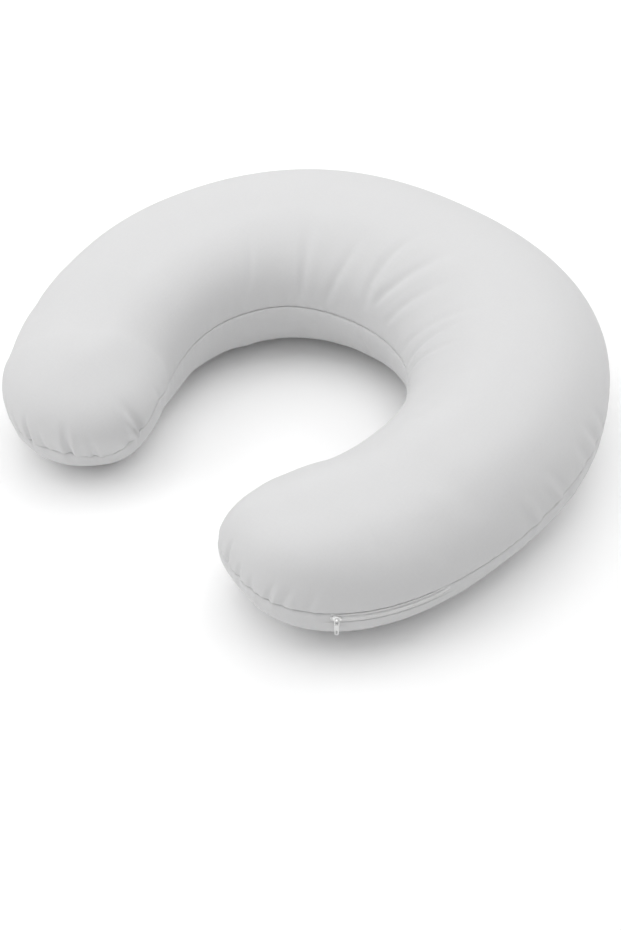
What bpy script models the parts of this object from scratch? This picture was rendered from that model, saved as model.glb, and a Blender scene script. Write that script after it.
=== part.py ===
"""A C-shaped pregnancy pillow: one filled cover in two panels, with a zip at the end of one arm.

The part lies on its lower panel. +Z is up, the mouth of the C faces -Y, and the arm at +X carries the
zip. The origin is under the middle of the pillow, on the surface that it rests on.
"""
import math

import bmesh
import bpy
import numpy as np
from mathutils import Matrix, Vector

MM = 0.001
PLAY = 0.3 * MM                      # the gap between pieces that touch on the real pillow
MERGE = 1e-6                         # points nearer than this are one point

# The plan: a bent spine, measured in polar form from a pole inside the C
POLE = (-0.7 * MM, -63.0 * MM)       # where the pole lies from the part's origin
ARM_ANGLE = math.radians(121.9)      # from the middle of the back to the centre of an arm's round end
LEFT_TIP_REACH = 1.11                # length of a round end, as a share of the half width there
ZIP_TIP_REACH = 1.27

# The form at nine even stations, from the end of the left arm over the back to the end of the zip's arm:
# the spine's distance from the pole, the half width, the crown above the widest level, the widest level
# above the surface (mm), and how far above the widest level the outer and inner seams run (degrees)
STATIONS = {
    "spine":      (196.6, 201.4, 220.1, 239.8, 237.2, 234.7, 218.8, 202.5, 198.1),
    "half_width": (80.8, 87.9, 99.5, 109.8, 106.5, 106.3, 98.2, 93.0, 95.5),
    "crown":      (66.1, 70.2, 75.2, 79.4, 81.1, 79.1, 74.4, 68.5, 62.9),
    "widest":     (65.8, 70.9, 71.3, 69.7, 68.9, 70.6, 72.3, 70.5, 61.5),
    "outer_seam": (-5.3, -5.5, -1.8, 2.8, 5.5, 4.1, 0.9, -1.1, 0.9),
    "inner_seam": (-18.3, -1.2, 5.9, 7.1, 6.0, 5.8, 6.4, 7.3, 7.6),
}
CROWN_POWER = 1.97                   # 2 would be an ellipse
BELLY_POWER = 2.10
PRESSED_FLAT = 4.5 * MM              # how far the round underside is pressed in by its own weight

# The seam all round the side, and the rows of points beside it: the distance down each panel, and the
# share of the panel's way that counts for the folds there
SEAM_DEPTH = 2.4 * MM
UNDER_SEAM = 0.6                     # how much of the seam's depth is left at the first row below it
UPPER_ROWS = (3.5 * MM, 9.0 * MM)
UPPER_ROW_SHARES = (0.03, 0.08)
LOWER_ROWS = (1.2 * MM, 9.8 * MM, 11.2 * MM)
LOWER_START_SHARE = 0.10
# The rest of the rows, as shares of the way from those rows to the crown or to the resting face
UPPER_SHARES = (0.10, 0.21, 0.33, 0.46, 0.60, 0.74, 0.87, 1.0)
LOWER_SHARES = (0.28, 0.54, 0.78, 1.0)
SIDE_COLUMNS = 84                    # sections along an arm and the back, closer together near the ends
TIP_COLUMNS = 34                     # sections round each end
END_CROWDING = 0.55
SEAM_SAMPLES = 6000                  # fine steps that the length of the seam is measured with
TANGENT_STEP = 1e-4                  # step in station that the spine's direction is measured with

# Folds. Places are millimetres along the seam, from the outer side of the left arm's end, over the back,
# round the zip's arm, back along the inner side and round the left arm's end. start and reach are shares
# of the way from the seam to the crown (upper) or to the resting face (lower). lean is how far a fold
# drifts along the seam on the whole of that way.
FOLD_COLUMNS = ("panel", "along", "lean", "start", "reach", "rise", "width")
FOLDS = (
    # gathers round the left arm's end
    ("upper", 2430, 53, 0.00, 0.30, 1.7, 5.0),
    ("upper", 2417, 20, 0.00, 0.30, 2.0, 5.0),
    ("upper", 2398, 14, 0.00, 0.28, 1.9, 5.0),
    ("upper", 2356, 40, 0.00, 0.34, 3.0, 6.0),
    ("upper", 2334, 5, 0.00, 0.29, 1.7, 4.5),
    ("upper", 2284, 60, 0.00, 0.40, 3.4, 7.0),
    ("upper", 2246, 30, 0.00, 0.26, 1.6, 6.0),
    ("lower", 2430, 20, 0.02, 0.40, 1.6, 6.0),
    ("lower", 2373, -18, 0.02, 0.46, 2.0, 7.0),
    ("lower", 2300, -30, 0.02, 0.42, 1.8, 6.5),
    # gathers round the end of the zip's arm
    ("upper", 1536, 50, 0.00, 0.26, 1.5, 6.0),
    ("upper", 1516, 26, 0.00, 0.32, 2.0, 6.0),
    ("upper", 1480, 18, 0.00, 0.34, 2.2, 6.0),
    ("upper", 1464, 0, 0.00, 0.30, 1.7, 5.0),
    ("upper", 1443, 0, 0.00, 0.29, 1.5, 5.0),
    ("lower", 1585, 16, 0.03, 0.42, 1.8, 7.0),
    ("lower", 1502, -20, 0.06, 0.46, 1.9, 7.0),
    # puckers on the outer side of the zip's arm
    ("upper", 1071, 83, 0.00, 0.36, 2.6, 7.0),
    ("upper", 1149, 50, 0.00, 0.34, 3.0, 7.0),
    ("upper", 1186, 60, 0.00, 0.38, 2.2, 6.0),
    ("lower", 1130, -30, 0.02, 0.40, 1.9, 8.0),
    # long soft folds from the inner seam up over the crown
    ("upper", 2098, -50, 0.20, 0.70, 1.7, 7.0),
    ("upper", 2033, -7, 0.10, 0.88, 3.0, 6.5),
    ("upper", 2036, -57, 0.30, 0.80, 1.8, 5.5),
    ("upper", 1985, -22, 0.30, 0.95, 2.6, 6.0),
    ("upper", 1977, -46, 0.18, 0.84, 3.0, 6.0),
    ("upper", 1954, -58, 0.14, 0.78, 3.0, 6.0),
    ("upper", 1900, -14, 0.26, 0.94, 2.4, 6.0),
    ("upper", 1877, -8, 0.02, 0.72, 2.6, 5.5),
    ("lower", 2077, 8, 0.05, 1.00, 2.0, 9.0),
    ("lower", 2015, -8, 0.05, 1.00, 2.2, 9.0),
    ("lower", 1963, 2, 0.00, 0.80, -2.6, 5.0),
    ("lower", 1912, 10, 0.02, 0.80, 1.8, 7.0),
    # the back and the left arm's outer side, drawn in more lightly
    ("upper", 98, -30, 0.00, 0.30, 1.5, 7.0),
    ("upper", 266, 20, 0.00, 0.28, 1.6, 8.0),
    ("upper", 528, -16, 0.00, 0.26, 1.4, 8.0),
    ("upper", 849, 24, 0.00, 0.30, 1.7, 8.0),
    ("lower", 61, 26, 0.02, 0.44, 1.8, 8.0),
    ("lower", 410, -20, 0.02, 0.40, 1.7, 9.0),
    ("lower", 754, 24, 0.02, 0.42, 1.9, 9.0),
)
FOLD_PEAK = 0.6                      # below 1 puts a fold's highest place nearer its seam end
HOLLOW_DEPTH = 0.45                  # the hollows beside a ridge, as a share of its rise
HOLLOW_WIDTH = 2.2                   # and as a multiple of its width

# The zip lies in a shallow bed between the seam and a fold just below it
ZIP_FROM = 1292 * MM                 # where its far end slips under the fold, along the seam
ZIP_TO = 1428 * MM                   # its closed end, just past the slider
ZIP_FADE = 9 * MM
BED_DEPTH = 2.6 * MM
LIP_RISE = 0.8 * MM
# Strips across the bed, measured down from its upper edge: name, near edge, far edge, height
ZIP_STRIPS = (
    ("zip_tape_upper", 0.2 * MM, 2.2 * MM, 1.0 * MM),
    ("zip_coil", 2.5 * MM, 6.3 * MM, 1.5 * MM),
    ("zip_tape_lower", 6.6 * MM, 8.4 * MM, 1.0 * MM),
)
COIL_CENTRE = 4.4 * MM               # the coil's middle, down from the bed's upper edge
COIL_SHOULDER = 0.55                 # where the coil's slopes start, as a share of its height
COIL_SLOPE = 0.25                    # how wide each slope is, as a share of the coil's width

SLIDER_ALONG = 1414 * MM
SLIDER_SIZE = (8.4 * MM, 6.2 * MM, 1.7 * MM)
SLIDER_EDGE = 0.5 * MM
SLIDER_LIFT = 2.2 * MM               # its underside above the bed
BRIDGE_SIZE = (1.7 * MM, 3.2 * MM, 2.6 * MM)
BRIDGE_EDGE = 0.35 * MM
BRIDGE_SUNK = 0.4 * MM               # how far the bridge runs into the slider's plate
WIRE = 0.9 * MM
WIRE_RESOLUTION = 2
LOOP_WIDTH = 3.7 * MM                # between the wire's middles
LOOP_LENGTH = 8.6 * MM
LOOP_CORNER = 1.0 * MM
CORNER_STEPS = 5                     # points round each corner of the loop
LOOP_LIFT = 5.0 * MM                 # the wire's top above the bed
TAB_LENGTH = 13.0 * MM
TAB_TOP_WIDTH = 6.2 * MM
TAB_END_WIDTH = 4.4 * MM
TAB_SHOULDER = 1.0 * MM
TAB_STRAIGHT = 0.34                  # the share of its length before it narrows
TAB_END_STEPS = 6                    # steps round each half of its end
TAB_THICK = 2.3 * MM
TAB_EDGE = 0.35 * MM
SHARP_ANGLE = math.radians(60)       # edges sharper than this are rounded
TAB_GRIP = 3.2 * MM                  # how much of the loop the tab is moulded over
TAB_POCKET = (2.6 * MM, 4.4 * MM, 0.5 * MM)
POCKET_MARGIN = 1.5 * MM             # from the pocket to the tab's end
POCKET_EDGE = 0.2 * MM

COLORS = {
    "cover": ((0.80, 0.80, 0.80), 0.92, 0.0),
    "tape": ((0.70, 0.70, 0.70), 0.85, 0.0),
    "coil": ((0.66, 0.66, 0.66), 0.50, 0.0),
    "metal": ((0.78, 0.78, 0.77), 0.30, 1.0),
    "tab": ((0.78, 0.78, 0.78), 0.45, 0.0),
}


def clear_scene():
    for old in list(bpy.data.objects):
        bpy.data.objects.remove(old)


def new_collection(name):
    collection = bpy.data.collections.new(name)
    bpy.context.scene.collection.children.link(collection)
    return collection


def coloured(name, finish):
    """A plain material for one sub-part."""
    color, roughness, metallic = COLORS[finish]
    material = bpy.data.materials.new(name)
    material.use_nodes = True
    shader = material.node_tree.nodes["Principled BSDF"]
    shader.inputs["Base Color"].default_value = (*color, 1.0)
    shader.inputs["Roughness"].default_value = roughness
    shader.inputs["Metallic"].default_value = metallic
    return material


def at_station(name, s):
    """The table's value at station s in [-1, 1], on a smooth curve through the nine stations."""
    table = np.array(STATIONS[name])
    last = len(table) - 1
    slope = np.gradient(table)
    if name != "spine":
        slope[0] = slope[-1] = 0.0   # level at the ends, where the round ends join on
    place = (np.clip(s, -1.0, 1.0) + 1.0) * last / 2
    k = np.minimum(place.astype(int), last - 1)
    t = place - k
    rise = table[k + 1] - table[k]
    return (table[k] + t * slope[k] + t**2 * (3 * rise - 2 * slope[k] - slope[k + 1])
            + t**3 * (slope[k] + slope[k + 1] - 2 * rise))


def spine_point(s):
    """The spine in plan: polar angle s times the arm's angle, and the table's distance from the pole."""
    angle = s * ARM_ANGLE
    radius = at_station("spine", s) * MM
    return np.stack([POLE[0] + radius * np.sin(angle), POLE[1] + radius * np.cos(angle)], axis=-1)


def sections(v):
    """Half sections standing round the pillow at loop places v in [0, 4).

    From 0 to 1 they point outwards along the spine, from 1 to 2 they turn round the end of the zip's
    arm, from 2 to 3 they point inwards on the way back, and from 3 to 4 they turn round the left end.
    """
    side = np.floor(v).astype(int)
    t = v - side
    s = np.choose(side, [2 * t - 1, np.ones_like(t), 1 - 2 * t, -np.ones_like(t)])
    step = np.where(s > 0, -TANGENT_STEP, TANGENT_STEP)
    tangent = (spine_point(s + step) - spine_point(s)) / step[:, None]
    tangent /= np.linalg.norm(tangent, axis=1, keepdims=True)
    outward = np.stack([-tangent[:, 1], tangent[:, 0]], axis=-1)
    turn = math.pi * t
    across = np.choose(side, [np.ones_like(t), np.cos(turn), -np.ones_like(t), -np.cos(turn)])
    ahead = np.choose(side, [0 * t, ZIP_TIP_REACH * np.sin(turn), 0 * t, -LEFT_TIP_REACH * np.sin(turn)])
    blend = (1 - np.cos(turn)) / 2
    inner_share = np.choose(side, [0 * t, blend, np.ones_like(t), 1 - blend])
    seam = (1 - inner_share) * at_station("outer_seam", s) + inner_share * at_station("inner_seam", s)
    return {
        "centre": spine_point(s),
        "way": outward * across[:, None] + tangent * ahead[:, None],
        "half_width": at_station("half_width", s) * MM,
        "crown": at_station("crown", s) * MM,
        "widest": at_station("widest", s) * MM,
        "seam": np.radians(seam),
    }


def rounded(cut, angle):
    """Points of the half sections at a rounding angle (0 at the widest level, 90 degrees at the crown)."""
    power = np.where(angle >= 0, CROWN_POWER, BELLY_POWER)
    out = np.abs(np.cos(angle)) ** (2 / power) * cut["half_width"]
    lift = np.sign(angle) * np.abs(np.sin(angle)) ** (2 / power)
    high = np.where(angle >= 0, cut["crown"], cut["widest"] + PRESSED_FLAT)
    z = np.maximum(cut["widest"] + high * lift, 0.0)
    plan = cut["centre"] + cut["way"] * out[:, None]
    return np.column_stack([plan, z])


def pushed(cut, angle, amount):
    """The same points moved square to the surface by an amount, kept on or above the surface below."""
    high = np.where(angle >= 0, cut["crown"], cut["widest"])
    out = np.cos(angle) / cut["half_width"]
    up = np.sin(angle) / high
    length = np.hypot(out, up)
    way = cut["way"] / np.linalg.norm(cut["way"], axis=1, keepdims=True)
    move = np.column_stack([way * (out / length)[:, None], up / length]) * amount[:, None]
    points = rounded(cut, angle) + move
    points[:, 2] = np.maximum(points[:, 2], 0.0)
    return points


def seam_ruler():
    """Loop places and the distance along the seam that each is at."""
    v = np.linspace(0.0, 4.0, SEAM_SAMPLES, endpoint=False)
    cut = sections(v)
    points = rounded(cut, cut["seam"])
    steps = np.linalg.norm(np.roll(points, -1, axis=0) - points, axis=1)
    return v, np.concatenate([[0.0], np.cumsum(steps[:-1])]), steps.sum()


def loop_places():
    """Where the columns of points stand: closer together towards the arms' ends."""
    u = np.linspace(-1.0, 1.0, SIDE_COLUMNS)
    side = (1 + (1 - END_CROWDING) * u + END_CROWDING * (3 * u - u**3) / 2) / 2
    side = side[:-1]
    tip = np.arange(TIP_COLUMNS) / TIP_COLUMNS
    return np.concatenate([side, 1 + tip, 2 + side, 3 + tip])


def fold_push(panel, along, share, seam_length):
    """How far the folds of a panel push its points out: ridges with a shallow hollow on each side."""
    push = np.zeros_like(along)
    for row in FOLDS:
        fold = dict(zip(FOLD_COLUMNS, row))
        if fold["panel"] != panel or not fold["start"] < share < fold["reach"]:
            continue
        crest = (fold["along"] + fold["lean"] * share) * MM
        away = (along - crest + seam_length / 2) % seam_length - seam_length / 2
        x = away / (fold["width"] * MM)
        ridge = np.exp(-x**2) - HOLLOW_DEPTH * np.exp(-((x / HOLLOW_WIDTH) ** 2))
        way_up = (share - fold["start"]) / (fold["reach"] - fold["start"])
        push += fold["rise"] * MM * ridge * math.sin(math.pi * way_up**FOLD_PEAK)
    return push


def smooth_step(x):
    x = np.clip(x, 0.0, 1.0)
    return x * x * (3 - 2 * x)


def bed_share(along):
    """1 over the zip's bed, falling to 0 past its ends."""
    return smooth_step((along - ZIP_FROM) / ZIP_FADE) * smooth_step((ZIP_TO - along) / ZIP_FADE)


def cover_rows(cut, along, seam_length):
    """The cover's points, row by row from the crown down to the middle of the resting face."""
    near_top = cut["seam"] + UPPER_ROWS[-1] / cut["crown"]
    near = UPPER_ROW_SHARES[-1]
    rows = []
    for share in reversed(UPPER_SHARES):
        angle = near_top + share * (math.pi / 2 - near_top)
        fold_share = near + share * (1 - near)
        rows.append(pushed(cut, angle, fold_push("upper", along, fold_share, seam_length)))
    for distance, share in zip(reversed(UPPER_ROWS), reversed(UPPER_ROW_SHARES)):
        angle = cut["seam"] + distance / cut["crown"]
        rows.append(pushed(cut, angle, fold_push("upper", along, share, seam_length)))
    rows.append(pushed(cut, cut["seam"], np.full_like(along, -SEAM_DEPTH)))
    bed = bed_share(along)
    belly = cut["widest"] + PRESSED_FLAT
    below_seam = -UNDER_SEAM * SEAM_DEPTH * (1 - bed) - BED_DEPTH * bed
    for distance, push in zip(LOWER_ROWS, (below_seam, -BED_DEPTH * bed, LIP_RISE * bed)):
        rows.append(pushed(cut, cut["seam"] - distance / belly, push))
    near_seam = cut["seam"] - LOWER_ROWS[-1] / belly
    rim = -np.arcsin((cut["widest"] / belly) ** (BELLY_POWER / 2))
    for share in LOWER_SHARES:
        angle = near_seam + share * (rim - near_seam)
        fold_share = LOWER_START_SHARE + share * (1 - LOWER_START_SHARE)
        rows.append(pushed(cut, angle, fold_push("lower", along, fold_share, seam_length)))
    rows[-1][:, 2] = 0.0
    rows.append(np.column_stack([cut["centre"], np.zeros(len(along))]))
    return rows


def closed(mesh):
    """The same mesh, its doubled points merged and its faces turned outwards."""
    bm = bmesh.new()
    bm.from_mesh(mesh)
    bmesh.ops.remove_doubles(bm, verts=bm.verts, dist=MERGE)
    bmesh.ops.recalc_face_normals(bm, faces=bm.faces)
    bm.to_mesh(mesh)
    bm.free()
    return mesh


def closed_mesh(name, points, faces):
    mesh = bpy.data.meshes.new(name)
    mesh.from_pydata(points, [], faces)
    return closed(mesh)


def add_object(name, mesh, finish, collection):
    piece = bpy.data.objects.new(name, mesh)
    collection.objects.link(piece)
    mesh.materials.append(coloured(name, finish))
    return piece


def lofted_ring(name, rows):
    """Faces between neighbouring rows that each run all the way round."""
    columns = len(rows[0])
    points = np.concatenate(rows)
    faces = []
    for r in range(len(rows) - 1):
        for c in range(columns):
            d = (c + 1) % columns
            faces.append((r * columns + c, r * columns + d, (r + 1) * columns + d, (r + 1) * columns + c))
    return closed_mesh(name, [tuple(p) for p in points], faces)


def lofted_bar(name, profiles):
    """A bar through a row of closed profiles, with a flat cap on each end."""
    count = len(profiles[0])
    points = [tuple(p) for profile in profiles for p in profile]
    faces = [tuple(range(count)), tuple(range(len(points) - count, len(points)))]
    for k in range(len(profiles) - 1):
        for c in range(count):
            d = (c + 1) % count
            faces.append((k * count + c, k * count + d, (k + 1) * count + d, (k + 1) * count + c))
    return closed_mesh(name, points, faces)


def bed_frames(cut, along):
    """The upper and lower edge of the zip's bed, and the ways across it and out of it."""
    belly = cut["widest"] + PRESSED_FLAT
    depth = -BED_DEPTH * bed_share(along)
    upper = pushed(cut, cut["seam"] - LOWER_ROWS[0] / belly, depth)
    lower = pushed(cut, cut["seam"] - LOWER_ROWS[1] / belly, depth)
    across = lower - upper
    across /= np.linalg.norm(across, axis=1, keepdims=True)
    way = cut["way"] / np.linalg.norm(cut["way"], axis=1, keepdims=True)
    level = np.column_stack([way, np.zeros(len(way))])
    out = level - across * np.sum(level * across, axis=1, keepdims=True)
    out /= np.linalg.norm(out, axis=1, keepdims=True)
    return upper, across, out


def strip_profile(kind, near, far, height):
    """Corners of a strip's section: distances across the bed and out of it."""
    base = PLAY
    if kind != "zip_coil":
        return ((near, base), (far, base), (far, base + height), (near, base + height))
    shoulder = COIL_SHOULDER * height
    slope = COIL_SLOPE * (far - near)
    return ((near, base), (far, base), (far, base + shoulder), (far - slope, base + height),
            (near + slope, base + height), (near, base + shoulder))


def build_cover(places, ruler, collection):
    v, along, seam_length = ruler
    distances = np.interp(places, v, along)
    rows = cover_rows(sections(places), distances, seam_length)
    return add_object("filled_cover", lofted_ring("filled_cover", rows), "cover", collection)


def build_zip_strips(places, ruler, collection):
    v, along, _ = ruler
    distances = np.interp(places, v, along)
    held = (distances > ZIP_FROM + ZIP_FADE) & (distances < ZIP_TO - ZIP_FADE)
    upper, across, out = bed_frames(sections(places[held]), distances[held])
    for name, near, far, height in ZIP_STRIPS:
        corners = strip_profile(name, near, far, height)
        profiles = np.stack([upper + a * across + b * out for a, b in corners], axis=1)
        finish = "coil" if name == "zip_coil" else "tape"
        add_object(name, lofted_bar(name, profiles), finish, collection)


def slider_frame(ruler):
    """The slider's place: on the coil, Z out of the bed and X along the zip."""
    v, along, _ = ruler
    place = np.interp([SLIDER_ALONG], along, v)
    upper, across, out = bed_frames(sections(place), np.array([SLIDER_ALONG]))
    z = Vector(out[0])
    y = Vector(across[0])
    x = y.cross(z)
    origin = Vector(upper[0]) + y * COIL_CENTRE
    return Matrix.Translation(origin) @ Matrix((x, y, z)).transposed().to_4x4()


def hanging_frame(slider):
    """Where the loop hangs from: X along the zip, Y out, Z plumb."""
    top = slider @ Vector((0, 0, LOOP_LIFT))
    x = Vector((slider.col[0][0], slider.col[0][1], 0)).normalized()
    z = Vector((0, 0, 1))
    return Matrix.Translation(top) @ Matrix((x, z.cross(x), z)).transposed().to_4x4()


def box_mesh(name, size, center, bevel):
    bm = bmesh.new()
    bmesh.ops.create_cube(bm, size=1.0)
    bmesh.ops.scale(bm, vec=size, verts=bm.verts)
    bmesh.ops.translate(bm, vec=center, verts=bm.verts)
    bmesh.ops.bevel(bm, geom=bm.edges[:], offset=bevel, segments=2, affect="EDGES", profile=0.5)
    mesh = bpy.data.meshes.new(name)
    bm.to_mesh(mesh)
    bm.free()
    return mesh


def loop_points():
    """The middle of the loop's wire: a rounded rectangle hanging down from its top bar."""
    points = []
    corners = ((1, 0, 0), (1, -1, -90), (-1, -1, -180), (-1, 0, -270))
    for side, low, first in corners:
        x = side * (LOOP_WIDTH / 2 - LOOP_CORNER)
        z = -LOOP_CORNER if low == 0 else LOOP_CORNER - LOOP_LENGTH
        for k in range(CORNER_STEPS):
            angle = math.radians(90 + first - 90 * k / (CORNER_STEPS - 1))
            points.append((x + LOOP_CORNER * math.cos(angle), 0.0, z + LOOP_CORNER * math.sin(angle)))
    return points


def wire_mesh(name, radius):
    """The loop as a closed wire of a given radius."""
    curve = bpy.data.curves.new(name, "CURVE")
    curve.dimensions = "3D"
    curve.bevel_depth = radius
    curve.bevel_resolution = WIRE_RESOLUTION
    spline = curve.splines.new("POLY")
    points = loop_points()
    spline.points.add(len(points) - 1)
    for point, place in zip(spline.points, points):
        point.co = (*place, 1.0)
    spline.use_cyclic_u = True
    holder = bpy.data.objects.new(name, curve)
    bpy.context.scene.collection.objects.link(holder)
    bpy.context.view_layer.update()
    evaluated = holder.evaluated_get(bpy.context.evaluated_depsgraph_get())
    mesh = bpy.data.meshes.new_from_object(evaluated)
    bpy.data.objects.remove(holder)
    return closed(mesh)


def add_boolean(piece, operation, other):
    boolean = piece.modifiers.new(operation.lower(), "BOOLEAN")
    boolean.operation = operation
    boolean.object = other


def add_cutter(name, mesh, frame, cutters):
    cutter = bpy.data.objects.new(name, mesh)
    cutter.matrix_world = frame
    cutter.hide_render = True
    cutter.display_type = "WIRE"
    cutters.objects.link(cutter)
    return cutter


def build_slider(slider, wire_room, collection, cutters):
    """A beveled plate over the coil, with a bridge that the loop passes through."""
    length, width, height = SLIDER_SIZE
    middle = SLIDER_LIFT + height / 2
    plate = box_mesh("zip_slider", (length, width, height), (0, 0, middle), SLIDER_EDGE)
    piece = add_object("zip_slider", plate, "metal", collection)
    piece.matrix_world = slider
    bridge_length, bridge_width, bridge_rise = BRIDGE_SIZE
    bridge_height = bridge_rise + BRIDGE_SUNK
    bridge_middle = SLIDER_LIFT + height - BRIDGE_SUNK + bridge_height / 2
    bridge_mesh = box_mesh("bridge", (bridge_length, bridge_width, bridge_height),
                           (0, 0, bridge_middle), BRIDGE_EDGE)
    add_boolean(piece, "UNION", add_cutter("bridge", bridge_mesh, slider, cutters))
    add_boolean(piece, "DIFFERENCE", wire_room)
    return piece


def tab_outline():
    """Half widths down the tab, from its top to its round end."""
    half_top, half_end = TAB_TOP_WIDTH / 2, TAB_END_WIDTH / 2
    narrows = -TAB_STRAIGHT * TAB_LENGTH
    points = [(half_top - TAB_SHOULDER, 0.0), (half_top, -TAB_SHOULDER), (half_top, narrows)]
    for k in range(TAB_END_STEPS + 1):
        angle = math.radians(90 * k / TAB_END_STEPS)
        points.append((half_end * math.cos(angle), half_end - TAB_LENGTH - half_end * math.sin(angle)))
    points[-1] = (0.0, -TAB_LENGTH)
    left = [(-x, z) for x, z in reversed(points[:-1])]
    return points + left


def build_tab(hang, wire_room, collection, cutters):
    """A moulded tab, closed over the loop's lower end, with a shallow bare pocket near its end."""
    outline = tab_outline()
    half = TAB_THICK / 2
    top = -(LOOP_LENGTH - TAB_GRIP)
    profiles = [[(x, y, z + top) for x, z in outline] for y in (-half, half)]
    piece = add_object("zip_pull_tab", lofted_bar("zip_pull_tab", profiles), "tab", collection)
    piece.matrix_world = hang
    rounding = piece.modifiers.new("rounding", "BEVEL")
    rounding.width = TAB_EDGE
    rounding.segments = 2
    rounding.angle_limit = SHARP_ANGLE
    wide, tall, deep = TAB_POCKET
    pocket_z = top - TAB_LENGTH + POCKET_MARGIN + tall / 2
    pocket = box_mesh("pocket", (wide, 2 * deep, tall), (0, -half, pocket_z), POCKET_EDGE)
    add_boolean(piece, "DIFFERENCE", add_cutter("pocket", pocket, hang, cutters))
    add_boolean(piece, "DIFFERENCE", wire_room)
    return piece


def build():
    clear_scene()
    collection = new_collection("pregnancy_pillow")
    cutters = new_collection("cutters")
    ruler = seam_ruler()
    places = loop_places()
    build_cover(places, ruler, collection)
    build_zip_strips(places, ruler, collection)
    slider = slider_frame(ruler)
    hang = hanging_frame(slider)
    wire_room = add_cutter("wire_room", wire_mesh("wire_room", WIRE / 2 + PLAY), hang, cutters)
    build_slider(slider, wire_room, collection, cutters)
    loop = add_object("zip_pull_loop", wire_mesh("zip_pull_loop", WIRE / 2), "metal", collection)
    loop.matrix_world = hang
    build_tab(hang, wire_room, collection, cutters)


build()
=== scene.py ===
# %% [markdown]
# # A C-shaped pregnancy pillow
#
# The real pillow is a cover of smooth pale cloth over a soft filling. Two C-shaped panels, an upper and a
# lower one, are sewn together along one seam that runs all the way round the side. At the end of one arm
# the seam has a coil zip under it, with a metal slider, a wire loop and a moulded tab.
#
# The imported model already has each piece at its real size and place. This script loads it as a fixed frame
# and dresses it: the cover is made again as a fine surface with its seam, gathers and folds, the filling
# pushes it out in a cloth simulation, and the zip gets its woven tape and the turns of its coil.

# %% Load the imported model
import math

import bmesh
import bpy
import numpy as np
from mathutils import Matrix, Vector


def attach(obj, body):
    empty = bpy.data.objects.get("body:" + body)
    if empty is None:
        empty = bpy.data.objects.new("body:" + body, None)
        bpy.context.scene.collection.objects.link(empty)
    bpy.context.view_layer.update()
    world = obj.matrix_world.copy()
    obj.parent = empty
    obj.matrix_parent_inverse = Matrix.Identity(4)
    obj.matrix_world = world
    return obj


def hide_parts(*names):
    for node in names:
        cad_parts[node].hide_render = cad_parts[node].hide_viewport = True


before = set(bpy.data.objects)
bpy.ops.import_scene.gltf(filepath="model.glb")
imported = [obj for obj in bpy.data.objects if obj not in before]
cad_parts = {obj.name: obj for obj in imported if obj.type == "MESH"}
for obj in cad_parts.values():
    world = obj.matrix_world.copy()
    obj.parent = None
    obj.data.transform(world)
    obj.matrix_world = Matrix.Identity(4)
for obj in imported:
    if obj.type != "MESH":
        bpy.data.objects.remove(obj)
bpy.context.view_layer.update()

MM = 0.001
print("nodes in the frame:", sorted(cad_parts))

# %% [markdown]
# ## The camera
#
# The photograph looks down at the pillow from its front right, with a short telephoto lens. A camera can be
# placed by its own position, or by the point that it looks at and how far away it stands. The second way is
# used here, because its numbers are the ones that a photographer would know.

# %% Place the camera
CAMERA_AIM = Vector((0.0497, -0.0773, 0.0158))
CAMERA_AZIMUTH = math.radians(38.585)
CAMERA_ELEVATION = math.radians(42.925)
CAMERA_DISTANCE = 1.7871
CAMERA_LENS = 69.66


def add_object(name, data):
    """An object for the data, in the scene."""
    obj = bpy.data.objects.new(name, data)
    bpy.context.scene.collection.objects.link(obj)
    return obj


def add_camera():
    """The camera stands at the aim plus the way back to it times the distance, with its up side up."""
    flat = math.cos(CAMERA_ELEVATION)
    back = Vector((math.sin(CAMERA_AZIMUTH) * flat, -math.cos(CAMERA_AZIMUTH) * flat,
                   math.sin(CAMERA_ELEVATION)))
    camera = add_object("camera", bpy.data.cameras.new("camera"))
    camera.data.lens = CAMERA_LENS
    camera.location = CAMERA_AIM + back * CAMERA_DISTANCE
    camera.rotation_euler = back.to_track_quat("Z", "Y").to_euler()
    bpy.context.scene.camera = camera
    return camera


print("camera at", [round(x, 4) for x in add_camera().location])

# %% [markdown]
# ## The form of the pillow
#
# The cover could be modelled from a cage and subdivided, but its outline and thickness change slowly and
# evenly, so it is easier to give them as curves. A bent spine runs from the end of the left arm over the
# back to the end of the zip's arm. Half sections stand on it, all the way round: a half section is a
# quarter of a superellipse above the widest level and another below it, pressed flat on the floor. The
# first table gives the sizes at nine even stations on the spine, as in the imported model. The swells and the
# seam's own moves make its soft form finer: they were fitted to the shading and the seam in the photograph.

# %% Name the driving sizes
POLE = (-0.7 * MM, -63.0 * MM)  # the point that the spine bends round
ARM_ANGLE = math.radians(121.9)  # how far each arm goes round it
LEFT_TIP_REACH = 1.11  # how far the round ends reach past the spine's, in half widths
ZIP_TIP_REACH = 1.27
STATIONS = {
    "spine":      (196.6, 201.4, 220.1, 239.8, 237.2, 234.7, 218.8, 202.5, 198.1),
    "half_width": (80.8, 87.9, 99.5, 109.8, 106.5, 106.3, 98.2, 93.0, 95.5),
    "crown":      (66.1, 70.2, 75.2, 79.4, 81.1, 79.1, 74.4, 68.5, 62.9),
    "widest":     (65.8, 70.9, 71.3, 69.7, 68.9, 70.6, 72.3, 70.5, 61.5),
    "outer_seam": (-5.3, -5.5, -1.8, 2.8, 5.5, 4.1, 0.9, -1.1, 0.9),
    "inner_seam": (-18.3, -1.2, 5.9, 7.1, 6.0, 5.8, 6.4, 7.3, 7.6),
}
CROWN_POWER = 2.0
BELLY_POWER = 2.1
PRESSED_FLAT = 4.5 * MM
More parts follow.
